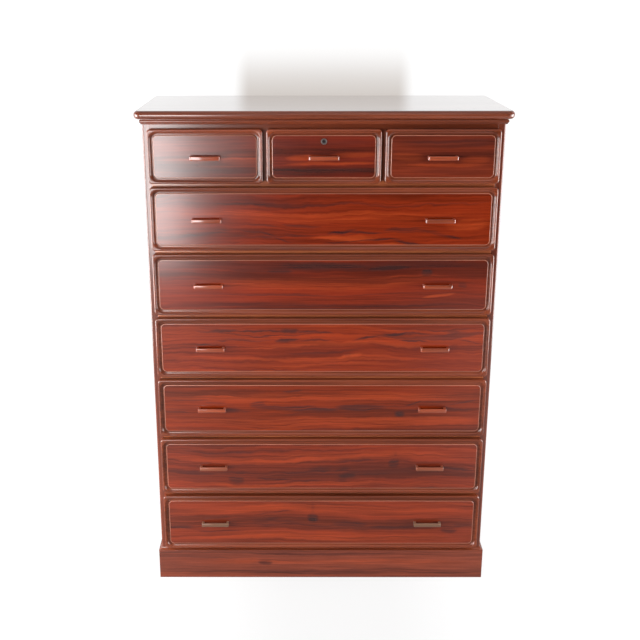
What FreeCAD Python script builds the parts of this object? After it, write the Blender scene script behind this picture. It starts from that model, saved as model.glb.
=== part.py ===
import FreeCAD, Part
import math
import os
from collections import namedtuple

# A high chest of drawers: three small drawers over six wide ones, in a rosewood carcass on a
# plinth. Millimetres, +Z up, the front looks along -Y, the origin is on the floor under the
# middle of the chest, bar pulls included.

Vector = FreeCAD.Vector

# Carcass
carcass_width = 960.0
carcass_depth = 402.0
side_thickness = 20.0
bottom_thickness = 20.0
divider_thickness = 22.0
partition_thickness = 22.0
rail_thickness = 22.0
rail_depth = 60.0
top_rail_height = 31.0
top_rail_depth = 22.0
back_thickness = 6.0
back_rebate = 8.0
housing_depth = 8.0
housing_setback = 14.0
tenon_length = 10.0
tenon_shoulder = 5.0
tenon_setback = 6.0
runner_width = 24.0
kicker_width = 18.0

# Drawer openings
wide_rows = 6
wide_opening_height = 161.5
small_columns = 3
small_opening_height = 132.0

# Top board, its half-round edge and the moulding below it
top_thickness = 22.0
top_overhang = 20.0
top_edge_radius = 10.4
top_corner_radius = 18.0
cornice_height = 14.0
cornice_reach = 6.0
cornice_fillet = 1.6
cornice_bead = 8.4

# Plinth and the moulding on it
plinth_height = 93.0
plinth_proud = 8.0
plinth_thickness = 20.0
plinth_back_inset = 24.0
base_moulding_height = 9.0
base_moulding_lip = 1.6
glue_block_size = 34.0
glue_block_gap = 4.0

# Drawer fronts: lipped over the frame, with a raised bead and a sunk border round a flat field
lip_proud = 19.5
lip_gap = 0.5
visible_rail = 10.0
visible_stile = 13.5
front_inset = 13.0
front_corner_radius = 10.0
field_proud = 17.5
bead_bevel = 2.8
bead_width = 4.8
border_width = 16.2
field_corner_radius = 11.9
border_depth = 5.5
field_bevel = 3.0

# Drawer boxes
drawer_side_thickness = 12.0
drawer_back_thickness = 12.0
drawer_back_housing = 5.0
drawer_back_setback = 10.0
drawer_bottom_thickness = 5.0
bottom_groove_depth = 6.0
bottom_groove_height = 8.0
side_clearance = 1.0
run_clearance = 0.3
head_clearance = 2.0
rear_clearance = 12.0
tail_pitch = 56.0
tail_length = 12.0
tail_slope_share = 1.0 / 6.0
tail_width_share = 0.80

# Bar pulls
pull_length = 80.0
pull_projection = 16.0
pull_height = 10.5
pull_drop = 2.3
pull_bar_depth = 6.0
pull_post_width = 7.0
pull_outer_radius = 4.0

# Cylinder lock in the middle small drawer
lock_drop = 31.7
lock_ring_radius = 8.0
lock_ring_proud = 1.6
lock_plug_radius = 4.6
lock_plug_clearance = 0.08
lock_plug_recess = 0.8
keyway_width = 1.8
keyway_height = 6.4
keyway_depth = 7.0
lock_case_width = 40.0
lock_case_depth = 10.0
lock_case_drop = 16.0
lock_case_wall = 1.8
cam_half_width = 5.2
cam_thickness = 2.2
drive_pin_radius = 1.4
drive_pin_offset = 5.0
drive_pin_start = 45.0
bolt_width = 17.0
bolt_thickness = 3.0
bolt_clearance = 0.3
bolt_foot_gap = 2.0
mortise_clearance = 1.5

# One length that every cutting tool runs past the face it cuts
overrun = 1.0

# Places worked out from the sizes
inner_half = carcass_width / 2 - side_thickness
front_reach = max(field_proud + pull_projection, top_overhang)
frame_y = -(carcass_depth - front_reach) / 2
back_y = frame_y + carcass_depth
inside_y = back_y - back_thickness
bottom_z = plinth_height
wide_floor_z = bottom_z + bottom_thickness
wide_pitch = wide_opening_height + rail_thickness
divider_z = wide_floor_z + wide_rows * wide_pitch - rail_thickness
small_floor_z = divider_z + divider_thickness
top_rail_z = small_floor_z + small_opening_height
top_z = top_rail_z + top_rail_height
total_height = top_z + top_thickness

front_width = carcass_width - 2 * visible_stile
small_front_width = (front_width - (small_columns - 1) * visible_rail) / small_columns
small_front_pitch = small_front_width + visible_rail
rail_overlap = (rail_thickness - visible_rail) / 2
top_overlap = rail_overlap
front_rear_y = frame_y + front_inset
field_y = frame_y - field_proud
drawer_back_y = inside_y - rear_clearance
case_front_y = front_rear_y - lock_case_depth

Opening = namedtuple("Opening", "name left right floor ceiling front_left front_right pulls")


def box(x0, x1, y0, y1, z0, z1):
    """A block between two corners."""
    return Part.makeBox(x1 - x0, y1 - y0, z1 - z0, Vector(x0, y0, z0))


def prism(points, direction):
    """A straight prism on a flat closed outline of points."""
    outline = Part.makePolygon(list(points) + [points[0]])
    return Part.Face(outline).extrude(direction)


def mirrored(shape):
    """The same piece on the other side of the chest's middle plane."""
    return shape.mirror(Vector(0, 0, 0), Vector(1, 0, 0))


def group(solids):
    """Separate solids kept together as one node."""
    return Part.makeCompound(solids)


def cylinder(radius, y0, y1, x, z):
    """A round bar along Y."""
    return Part.makeCylinder(radius, y1 - y0, Vector(x, y0, z), Vector(0, 1, 0))


def rounded_outline(x0, x1, z0, z1, y, radius):
    """A closed rectangle with rounded corners, square to the depth of the chest."""
    middle = radius * (1 - math.cos(math.radians(45)))
    edges = [
        Part.LineSegment(Vector(x0 + radius, y, z0), Vector(x1 - radius, y, z0)).toShape(),
        Part.Arc(Vector(x1 - radius, y, z0), Vector(x1 - middle, y, z0 + middle),
                 Vector(x1, y, z0 + radius)).toShape(),
        Part.LineSegment(Vector(x1, y, z0 + radius), Vector(x1, y, z1 - radius)).toShape(),
        Part.Arc(Vector(x1, y, z1 - radius), Vector(x1 - middle, y, z1 - middle),
                 Vector(x1 - radius, y, z1)).toShape(),
        Part.LineSegment(Vector(x1 - radius, y, z1), Vector(x0 + radius, y, z1)).toShape(),
        Part.Arc(Vector(x0 + radius, y, z1), Vector(x0 + middle, y, z1 - middle),
                 Vector(x0, y, z1 - radius)).toShape(),
        Part.LineSegment(Vector(x0, y, z1 - radius), Vector(x0, y, z0 + radius)).toShape(),
        Part.Arc(Vector(x0, y, z0 + radius), Vector(x0 + middle, y, z0 + middle),
                 Vector(x0 + radius, y, z0)).toShape(),
    ]
    return Part.Wire(edges)


def wide_floor(row):
    """The height of the floor of a wide drawer's opening, counted from the lowest."""
    return wide_floor_z + row * wide_pitch


def rail_levels():
    """The undersides of the rails between the wide drawers."""
    return [wide_floor(row) - rail_thickness for row in range(1, wide_rows)]


def partition_centres():
    """The middles of the uprights between the small drawers."""
    first = -(small_columns - 2) / 2 * small_front_pitch
    return [first + i * small_front_pitch for i in range(small_columns - 1)]


def openings():
    """Every drawer's opening, with the outer ends of its front and its pulls' places."""
    names = {0: "top_left", (small_columns - 1) / 2: "top_centre", small_columns - 1: "top_right"}
    middles = [-(small_columns - 1) / 2 * small_front_pitch + i * small_front_pitch
               for i in range(small_columns)]
    walls = [-inner_half]
    for centre in partition_centres():
        walls += [centre - partition_thickness / 2, centre + partition_thickness / 2]
    walls.append(inner_half)
    made = []
    for i, middle in enumerate(middles):
        made.append(Opening(
            "drawer_" + names.get(i, "top_%d" % (i + 1)),
            walls[2 * i], walls[2 * i + 1], small_floor_z, top_rail_z,
            middle - small_front_width / 2, middle + small_front_width / 2, [middle]))
    for row in range(wide_rows):
        floor = wide_floor(wide_rows - 1 - row)
        made.append(Opening(
            "drawer_wide_%d" % (row + 1),
            -inner_half, inner_half, floor, floor + wide_opening_height,
            -front_width / 2, front_width / 2, [middles[0], middles[-1]]))
    return made


# Carcass pieces


def housed_board(z0, thickness):
    """A full board between the sides, its ends let into stopped housings."""
    board = box(-inner_half, inner_half, frame_y, inside_y, z0, z0 + thickness)
    tongues = box(-inner_half - housing_depth, inner_half + housing_depth,
                  frame_y + housing_setback, inside_y, z0, z0 + thickness)
    return board.fuse(tongues).removeSplitter()


def tenoned_rail(z0, height, depth, y0):
    """A rail between the sides with a stub tenon on each end."""
    rail = box(-inner_half, inner_half, y0, y0 + depth, z0, z0 + height)
    tenons = box(-inner_half - tenon_length, inner_half + tenon_length,
                 y0 + tenon_setback, y0 + depth - tenon_setback,
                 z0 + tenon_shoulder, z0 + height - tenon_shoulder)
    return rail.fuse(tenons).removeSplitter()


def top_rail():
    """The rail above the small drawers, with the mortise that the lock's bolt enters."""
    rail = tenoned_rail(top_rail_z, top_rail_height, top_rail_depth, frame_y)
    half = bolt_width / 2 + mortise_clearance
    middle = bolt_y()
    reach = bolt_thickness / 2 + mortise_clearance
    mortise = box(-half, half, middle - reach, middle + reach,
                  top_rail_z - overrun, top_rail_z + bolt_throw() + mortise_clearance)
    return rail.cut(mortise)


def side_panel():
    """The right-hand side, with housings, mortises and the rebate for the back."""
    panel = box(inner_half, carcass_width / 2, frame_y, back_y, bottom_z, top_z)
    rebate = box(inner_half - overrun, inner_half + back_rebate,
                 inside_y, back_y + overrun, bottom_z - overrun, top_z + overrun)
    panel = panel.cut(rebate)
    joints = [housed_board(bottom_z, bottom_thickness), housed_board(divider_z, divider_thickness),
              top_rail(), top_back_rail()]
    return panel.cut(joints + drawer_rails())


def drawer_rails():
    """The rails between the wide drawers."""
    return [tenoned_rail(z, rail_thickness, rail_depth, frame_y) for z in rail_levels()]


def drawer_runners():
    """A runner against each side behind every rail between the wide drawers."""
    made = []
    for z in rail_levels():
        runner = box(inner_half - runner_width, inner_half,
                     frame_y + rail_depth, inside_y, z, z + rail_thickness)
        made += [mirrored(runner), runner]
    return made


def top_back_rail():
    """The rail at the back under the top board."""
    return tenoned_rail(top_rail_z, top_rail_height, top_rail_depth, inside_y - top_rail_depth)


def partition(centre):
    """An upright between two small drawers, notched round the front and back rails."""
    half = partition_thickness / 2
    upright = box(centre - half, centre + half, frame_y, inside_y, small_floor_z, top_z)
    return upright.cut([top_rail_blank(), top_back_rail()])


def top_rail_blank():
    """The space of the top rail, mortise included."""
    return box(-inner_half, inner_half, frame_y, frame_y + top_rail_depth, top_rail_z, top_z)


def drawer_kickers():
    """Strips above the small drawers' sides, which also carry the top board."""
    half = partition_thickness / 2
    starts = [-inner_half, inner_half - kicker_width]
    for centre in partition_centres():
        starts += [centre - half - kicker_width, centre + half]
    y0 = frame_y + top_rail_depth
    y1 = inside_y - top_rail_depth
    return [box(x, x + kicker_width, y0, y1, top_rail_z, top_z) for x in sorted(starts)]


def back_panel():
    """The thin back, held in the sides' rebates."""
    half = inner_half + back_rebate
    return box(-half, half, inside_y, back_y, bottom_z, top_z)


def top_board():
    """The top, with a half-round edge at the front and both ends and rounded corners."""
    half = carcass_width / 2 + top_overhang
    board = box(-half, half, frame_y - top_overhang, back_y, top_z, total_height)
    corners = [e for e in board.Edges
               if abs(e.BoundBox.ZLength - top_thickness) < top_edge_radius
               and e.BoundBox.YMax < frame_y]
    board = board.makeFillet(top_corner_radius, corners)
    rims = [e for e in board.Edges
            if e.BoundBox.ZLength < top_edge_radius and e.BoundBox.YMin < back_y - overrun]
    return board.makeFillet(top_edge_radius, rims)


def moulding(profile_points, run_x, depth):
    """Mitred strips of one profile along the front and both ends.

    profile_points gives the section as Part edges from a function of the outward direction,
    run_x is half the width over the ground that the strips sit on.
    """
    front = Part.Face(Part.Wire(profile_points(Vector(0, -1, 0), Vector(0, frame_y, 0))))
    front = front.extrude(Vector(2 * (run_x + depth), 0, 0))
    front.translate(Vector(-(run_x + depth), 0, 0))
    end = Part.Face(Part.Wire(profile_points(Vector(1, 0, 0), Vector(run_x, 0, 0))))
    end = end.extrude(Vector(0, back_y - frame_y + depth, 0))
    end.translate(Vector(0, frame_y - depth, 0))
    low = min(front.BoundBox.ZMin, end.BoundBox.ZMin) - overrun
    high = Vector(0, 0, max(front.BoundBox.ZMax, end.BoundBox.ZMax) + overrun - low)
    reach = depth + overrun
    inner = Vector(run_x - reach, frame_y + reach, low)
    outer = Vector(run_x + reach, frame_y - reach, low)
    beyond = prism([inner, outer, Vector(outer.x, inner.y, low)], high)
    before = prism([inner, outer, Vector(inner.x, outer.y, low)], high)
    end = end.cut(before)
    front = front.cut([beyond, mirrored(beyond)])
    return [mirrored(end), front, end]


def cornice_profile(out, origin):
    """The bed moulding's section: a fillet, a bead and a small cove back to the frame."""
    def at(reach, z):
        return origin + out * reach + Vector(0, 0, z)
    neck = cornice_reach - cornice_bead / 2 + cornice_fillet
    bead_top = top_z - cornice_fillet
    bead_bottom = bead_top - cornice_bead
    foot = top_z - cornice_height
    lip = (bead_bottom - foot) / 4
    return [
        Part.LineSegment(at(0, top_z), at(neck, top_z)).toShape(),
        Part.LineSegment(at(neck, top_z), at(neck, bead_top)).toShape(),
        Part.Arc(at(neck, bead_top), at(cornice_reach, (bead_top + bead_bottom) / 2),
                 at(neck, bead_bottom)).toShape(),
        Part.Arc(at(neck, bead_bottom), at(neck / 2, bead_bottom - lip), at(lip, foot)).toShape(),
        Part.LineSegment(at(lip, foot), at(0, foot)).toShape(),
        Part.LineSegment(at(0, foot), at(0, top_z)).toShape(),
    ]


def base_profile(out, origin):
    """The base moulding's section: a small lip at the foot and a hollow up to the frame."""
    def at(reach, z):
        return origin + out * reach + Vector(0, 0, z)
    head = plinth_height + base_moulding_height
    hollow = math.cos(math.radians(45))
    rise = base_moulding_height - base_moulding_lip
    run = plinth_proud - base_moulding_lip / 2
    return [
        Part.LineSegment(at(0, plinth_height), at(plinth_proud, plinth_height)).toShape(),
        Part.LineSegment(at(plinth_proud, plinth_height),
                         at(plinth_proud, plinth_height + base_moulding_lip)).toShape(),
        Part.Arc(at(plinth_proud, plinth_height + base_moulding_lip),
                 at(plinth_proud - run * hollow, head - rise * hollow),
                 at(base_moulding_lip / 2, head)).toShape(),
        Part.LineSegment(at(base_moulding_lip / 2, head), at(0, head)).toShape(),
        Part.LineSegment(at(0, head), at(0, plinth_height)).toShape(),
    ]


# Plinth


def plinth_boards():
    """The plinth's front and right-hand boards, mitred together, and the back board."""
    half = carcass_width / 2 + plinth_proud
    y0 = frame_y - plinth_proud
    front = prism([Vector(-half, y0, 0), Vector(half, y0, 0),
                   Vector(half - plinth_thickness, y0 + plinth_thickness, 0),
                   Vector(-half + plinth_thickness, y0 + plinth_thickness, 0)],
                  Vector(0, 0, plinth_height))
    right = prism([Vector(half, y0, 0), Vector(half, back_y, 0),
                   Vector(half - plinth_thickness, back_y, 0),
                   Vector(half - plinth_thickness, y0 + plinth_thickness, 0)],
                  Vector(0, 0, plinth_height))
    rear = back_y - plinth_back_inset
    back = box(-half + plinth_thickness, half - plinth_thickness,
               rear - plinth_thickness, rear, 0, plinth_height)
    return front, right, back


def plinth_blocks():
    """Glue blocks in the plinth's four corners, short of the floor."""
    half = carcass_width / 2 + plinth_proud - plinth_thickness
    y0 = frame_y - plinth_proud + plinth_thickness
    y1 = back_y - plinth_back_inset - plinth_thickness
    rise = Vector(0, 0, plinth_height - glue_block_gap)
    made = []
    for y, way in ((y0, 1), (y1, -1)):
        block = prism([Vector(half, y, glue_block_gap),
                       Vector(half - glue_block_size, y, glue_block_gap),
                       Vector(half, y + way * glue_block_size, glue_block_gap)], rise)
        made += [mirrored(block), block]
    return made


# Drawers


def box_ends(o):
    """The outer faces of a drawer box, and its lower and upper edges."""
    return (o.left + side_clearance, o.right - side_clearance,
            o.floor + run_clearance, o.ceiling - head_clearance)


def front_tails(o):
    """Each dovetail's corners in the (Y, Z) plane, from the lowest: narrow behind the front."""
    _, _, z0, z1 = box_ends(o)
    tails = max(round((z1 - z0) / tail_pitch), 1)
    pitch = (z1 - z0) / tails
    wide = pitch * tail_width_share / 2
    narrow = wide - tail_length * tail_slope_share
    tip_y = front_rear_y - tail_length
    made = []
    for i in range(tails):
        middle = z0 + (i + 0.5) * pitch
        made.append([(front_rear_y, middle - narrow), (tip_y, middle - wide),
                     (tip_y, middle + wide), (front_rear_y, middle + narrow)])
    return made


def tail_blocks(o, x0):
    """The dovetails of the side that starts at x0, as solids that cut their own sockets."""
    across = Vector(drawer_side_thickness, 0, 0)
    return [prism([Vector(x0, y, z) for y, z in tail], across) for tail in front_tails(o)]


def bottom_panel(o):
    """The drawer's bottom, in grooves in the front and sides and under the back."""
    x0, x1, z0, _ = box_ends(o)
    ledge = drawer_side_thickness - bottom_groove_depth
    low = z0 + bottom_groove_height
    return box(x0 + ledge, x1 - ledge, front_rear_y - bottom_groove_depth, drawer_back_y,
               low, low + drawer_bottom_thickness)


def back_foot(o):
    """The height of the lower edge of a drawer's back, which stands on the bottom."""
    return box_ends(o)[2] + bottom_groove_height + drawer_bottom_thickness


def drawer_back(o):
    """The back, standing on the bottom panel with its ends housed in the sides."""
    x0, x1, _, z1 = box_ends(o)
    inset = drawer_side_thickness - drawer_back_housing
    rear = drawer_back_y - drawer_back_setback
    return box(x0 + inset, x1 - inset, rear - drawer_back_thickness, rear, back_foot(o), z1)


def drawer_box(o):
    """Both sides, with dovetails at the front, and the back between them."""
    x0, x1, z0, z1 = box_ends(o)
    outline = [(front_rear_y, z0)]
    for tail in front_tails(o):
        outline += tail
    outline += [(front_rear_y, z1), (drawer_back_y, z1), (drawer_back_y, z0)]
    back = drawer_back(o)
    panel = bottom_panel(o)
    sides = []
    for x in (x0, x1 - drawer_side_thickness):
        side = prism([Vector(x, y, z) for y, z in outline], Vector(drawer_side_thickness, 0, 0))
        sides.append(side.cut([panel, back]))
    return [sides[0], back, sides[1]]


def border_section(turn_x, z_edge, way):
    """The sunk border's section, in the plane X = turn_x, measured in from the edge at z_edge.

    It slopes down from the bead and rises again to the field.
    """
    over = lip_proud + overrun
    points = [(bead_width, over), (bead_width, lip_proud),
              (border_width - field_bevel, lip_proud - border_depth),
              (border_width, field_proud), (border_width, over)]
    corners = [Vector(turn_x, frame_y - height, z_edge + way * reach) for reach, height in points]
    return Part.Face(Part.makePolygon(corners + [corners[0]]))


def border_cutter(x0, x1, z0, z1):
    """What is cut from a front's face: the sunk border, turned at its corners, and the field's
    small drop below the bead."""
    inset = border_width + field_corner_radius
    made = []
    upright = Vector(0, -1, 0)
    low = border_section(x0 + inset, z0, 1)
    high = border_section(x0 + inset, z1, -1)
    made.append(low.extrude(Vector(x1 - x0 - 2 * inset, 0, 0)))
    made.append(high.extrude(Vector(x1 - x0 - 2 * inset, 0, 0)))
    for x, z, section, turn in ((x0 + inset, z0 + inset, low, 90), (x0 + inset, z1 - inset, high, -90)):
        made.append(section.revolve(Vector(x, frame_y, z), upright, -turn))
    left = low.copy()
    left.rotate(Vector(x0 + inset, frame_y, z0 + inset), upright, -90)
    made.append(left.extrude(Vector(0, 0, z1 - z0 - 2 * inset)))
    middle = Vector((x0 + x1) / 2, 0, 0)
    made += [s.mirror(middle, Vector(1, 0, 0)) for s in made[2:]]
    reach = border_width - field_bevel / 2
    dish = rounded_outline(x0 + reach, x1 - reach, z0 + reach, z1 - reach,
                           frame_y - field_proud, inset - reach)
    made.append(Part.Face(dish).extrude(Vector(0, field_proud - lip_proud - overrun, 0)))
    return made


def drawer_front(o):
    """A lipped front: moulded face, body that fits the opening, sockets and groove."""
    z0 = o.floor - rail_overlap
    z1 = o.ceiling + top_overlap
    outline = rounded_outline(o.front_left, o.front_right, z0, z1,
                              frame_y - lip_gap, front_corner_radius)
    lip = Part.Face(outline).extrude(Vector(0, lip_gap - lip_proud, 0))
    rim = [e for e in lip.Edges if e.BoundBox.YMax < frame_y - lip_proud + overrun]
    lip = lip.makeChamfer(bead_bevel, rim)
    lip = lip.cut(border_cutter(o.front_left, o.front_right, z0, z1))
    x0, x1, low, high = box_ends(o)
    body = box(x0, x1, frame_y - lip_gap, front_rear_y, low, high)
    front = lip.fuse(body)
    for x in (x0, x1 - drawer_side_thickness):
        front = front.cut(tail_blocks(o, x))
    return front.cut(bottom_panel(o))


def pull(x, z):
    """A bar pull: a bar on two posts, rounded at its outer corners."""
    half = pull_length / 2
    y0 = field_y - pull_projection
    base = z - pull_height / 2
    blank = box(x - half, x + half, y0, field_y, base, base + pull_height)
    gap = box(x - half + pull_post_width, x + half - pull_post_width,
              y0 + pull_bar_depth, field_y + overrun, base - overrun, base + pull_height + overrun)
    made = blank.cut(gap)
    uprights = [e for e in made.Edges if e.BoundBox.ZLength > pull_height / 2]
    outer = [e for e in uprights if e.BoundBox.YMax < y0 + pull_bar_depth / 2]
    return made.makeFillet(pull_outer_radius, outer)


def pull_z(o):
    """Height of the middle of a drawer's pulls, a little under half its height."""
    return (o.floor + o.ceiling) / 2 - pull_drop


def drawer_pulls(o):
    """The pull or pair of pulls on a drawer."""
    return [pull(x, pull_z(o)) for x in o.pulls]


# Lock


def lock_z():
    """The height of the lock's axis."""
    return top_rail_z + top_overlap - lock_drop


def bolt_throw():
    """How far a quarter turn of the drive pin lifts the bolt."""
    return 2 * drive_pin_offset * math.sin(math.radians(drive_pin_start))


def bolt_y():
    """The middle of the bolt's thickness."""
    return front_rear_y - lock_case_wall - bolt_clearance - bolt_thickness / 2


def lock_case_box():
    """The outside of the lock's case, flush with the back and top of the front."""
    half = lock_case_width / 2
    return box(-half, half, case_front_y, front_rear_y,
               lock_z() - lock_case_drop, top_rail_z - head_clearance)


def lock_case():
    """The case and the round housing whose end shows, hollow for the cam and the bolt."""
    z = lock_z()
    half = bolt_width / 2 + bolt_clearance
    low = z - lock_case_drop + lock_case_wall
    high = top_rail_z - head_clearance - lock_case_wall
    wide = lock_case_width / 2 - lock_case_wall
    hollow = box(-wide, wide, case_front_y + lock_case_wall,
                 bolt_y() - bolt_thickness / 2 - bolt_clearance, low, high)
    track = box(-half, half, bolt_y() - bolt_thickness / 2 - bolt_clearance,
                front_rear_y - lock_case_wall, low, top_rail_z)
    housing = cylinder(lock_ring_radius, field_y - lock_ring_proud, case_front_y + overrun, 0, z)
    bore = cylinder(lock_plug_radius + lock_plug_clearance, field_y - lock_ring_proud - overrun,
                    case_front_y + lock_case_wall + overrun, 0, z)
    case = lock_case_box().cut([hollow, track])
    return case.fuse(housing).cut(bore).removeSplitter()


def lock_barrel():
    """The plug that the key turns, with its cam and the drive pin behind it."""
    z = lock_z()
    cam_y = case_front_y + lock_case_wall + lock_plug_clearance
    face_y = field_y - lock_ring_proud + lock_plug_recess
    plug = cylinder(lock_plug_radius, face_y, cam_y + overrun, 0, z)
    reach = drive_pin_offset + cam_half_width / 2
    cam = box(-cam_half_width, reach, cam_y, cam_y + cam_thickness,
              z - cam_half_width, z + cam_half_width)
    cam.rotate(Vector(0, cam_y, z), Vector(0, -1, 0), -drive_pin_start)
    start = math.radians(-drive_pin_start)
    pin = cylinder(drive_pin_radius, cam_y + cam_thickness / 2, bolt_y() + bolt_thickness / 2,
                   drive_pin_offset * math.cos(start), z + drive_pin_offset * math.sin(start))
    keyway = box(-keyway_width / 2, keyway_width / 2, face_y - overrun, face_y + keyway_depth,
                 z - keyway_height / 2, z + keyway_height / 2)
    return plug.fuse([cam, pin]).cut(keyway)


def lock_bolt():
    """The sliding bolt, with the level slot that the drive pin works in."""
    z = lock_z()
    y0 = bolt_y() - bolt_thickness / 2
    y1 = bolt_y() + bolt_thickness / 2
    low = z - lock_case_drop + lock_case_wall + bolt_foot_gap
    plate = box(-bolt_width / 2, bolt_width / 2, y0, y1, low, top_rail_z - head_clearance)
    reach = drive_pin_radius + bolt_clearance
    rest = z - bolt_throw() / 2
    slot = box(bolt_throw() / 2 - reach, drive_pin_offset + reach, y0 - overrun, y1 + overrun,
               rest - reach, rest + reach)
    return plate.cut(slot)


def cut_for_lock(front):
    """The middle small drawer's front, recessed for the case and bored for the sleeve."""
    hole = cylinder(lock_ring_radius, field_y - overrun, case_front_y + overrun, 0, lock_z())
    return front.cut([lock_case_box(), hole])


def build():
    """Every node's name and shape."""
    front_board, right_board, back_board = plinth_boards()
    right_side = side_panel()
    left_upright, right_upright = [partition(x) for x in partition_centres()]
    base_ground = carcass_width / 2
    nodes = {
        "top_board": top_board(),
        "cornice_moulding": group(moulding(cornice_profile, base_ground, cornice_reach)),
        "side_left": mirrored(right_side),
        "side_right": right_side,
        "back_panel": back_panel(),
        "bottom_board": housed_board(bottom_z, bottom_thickness),
        "divider_board": housed_board(divider_z, divider_thickness),
        "top_rail": top_rail(),
        "top_back_rail": top_back_rail(),
        "drawer_rails": group(drawer_rails()),
        "drawer_runners": group(drawer_runners()),
        "drawer_kickers": group(drawer_kickers()),
        "partition_left": left_upright,
        "partition_right": right_upright,
        "plinth_front": front_board,
        "plinth_left": mirrored(right_board),
        "plinth_right": right_board,
        "plinth_back": back_board,
        "plinth_blocks": group(plinth_blocks()),
        "base_moulding": group(moulding(base_profile, base_ground, plinth_proud)),
    }
    for o in openings():
        front = drawer_front(o)
        if o.name == "drawer_top_centre":
            front = cut_for_lock(front)
        nodes[o.name + "_front"] = front
        nodes[o.name + "_box"] = group(drawer_box(o))
        nodes[o.name + "_bottom"] = bottom_panel(o)
        nodes[o.name + "_pulls"] = group(drawer_pulls(o))
    nodes["lock_case"] = lock_case()
    nodes["lock_barrel"] = lock_barrel()
    nodes["lock_bolt"] = lock_bolt()
    return nodes


def main():
    os.makedirs("parts", exist_ok=True)
    for name, shape in build().items():
        if not shape.isValid():
            print("not valid:", name)
        shape.exportStep("parts/%s.step" % name)
        size = shape.BoundBox
        print("%-28s %2d solids  %8.1f x %7.1f x %7.1f  volume %.0f" % (
            name, len(shape.Solids), size.XLength, size.YLength, size.ZLength, shape.Volume))
    print("height %.1f, bolt throw %.3f" % (total_height, bolt_throw()))


if __name__ == "__main__":
    main()
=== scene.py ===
"""High chest of drawers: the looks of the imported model, its studio and its camera.

Blender's lengths are metres, +Z up, and the front of the chest looks along -Y. Sizes of the chest's
pieces are given in millimetres, and those of the studio in metres.
"""

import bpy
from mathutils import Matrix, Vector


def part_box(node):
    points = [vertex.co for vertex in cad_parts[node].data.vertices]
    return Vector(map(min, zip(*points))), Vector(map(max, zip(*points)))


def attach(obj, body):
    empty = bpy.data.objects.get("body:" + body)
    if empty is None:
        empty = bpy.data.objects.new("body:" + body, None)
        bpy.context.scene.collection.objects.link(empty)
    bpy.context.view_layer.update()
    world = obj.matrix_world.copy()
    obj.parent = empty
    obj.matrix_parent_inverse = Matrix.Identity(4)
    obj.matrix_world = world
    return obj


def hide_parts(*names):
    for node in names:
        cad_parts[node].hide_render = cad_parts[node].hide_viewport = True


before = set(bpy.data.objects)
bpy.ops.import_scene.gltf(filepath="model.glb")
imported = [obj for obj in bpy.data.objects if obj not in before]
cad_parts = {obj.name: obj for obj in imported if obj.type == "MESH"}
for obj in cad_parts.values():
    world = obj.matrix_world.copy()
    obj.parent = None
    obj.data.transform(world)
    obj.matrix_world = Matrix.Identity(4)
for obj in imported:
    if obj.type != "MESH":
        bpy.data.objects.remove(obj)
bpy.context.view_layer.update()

import logging
import math
from collections.abc import Callable, Sequence
from dataclasses import dataclass, field, replace
from enum import Enum

import bmesh
import bpy
from mathutils import Matrix, Vector

Socket = bpy.types.NodeSocket
Node = bpy.types.Node
Tree = bpy.types.NodeTree
Material = bpy.types.Material
Vert = bmesh.types.BMVert
Colour = tuple[float, float, float]
Spot = tuple[float, float, float]
Point = tuple[float, float]
Row = tuple[float, ...]
Ring = list[Vector]


def extent(node: str, axis: int) -> Point:
    """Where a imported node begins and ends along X, Y or Z, in millimetres."""
    low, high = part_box(node)
    return low[axis] / MM, high[axis] / MM


def middle(node: str, axis: int) -> float:
    """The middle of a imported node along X, Y or Z, in millimetres."""
    return sum(extent(node, axis)) / 2


LOG = logging.getLogger("chest")
X, Y, Z = range(3)
MM = 0.001

# Metres: points closer than WELD are joined, and what lies within HAIR of a plane lies in it
WELD = 0.000002
HAIR = 0.00001
FIBRE_DEPTH = 0.0004
TURNING_DEPTH = 0.0001

# Millimetres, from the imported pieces: the sides' faces and ends, the fields' plane and the pulls
SIDE_INNER, SIDE_OUTER = extent("side_right", X)
FRAME_Y, BACK_Y = extent("side_right", Y)
PLINTH_TOP, UNDER_TOP = extent("side_right", Z)
FIELD_Y = extent("drawer_top_centre_pulls", Y)[1]
PULL_X = middle("drawer_top_right_pulls", X)
WIDE_ROWS = 6


class Grain(Enum):
    """Which way the grain of a board runs: along the first of the three axes."""

    WIDE = "XYZ"
    UPRIGHT = "ZYX"
    DEEP = "YXZ"


class Slot(Enum):
    """The record's material slots; the new pieces here take no finish from them."""

    ROSEWOOD = "rosewood"
    PULLS = "pull_wood"


# Shader work


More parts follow.
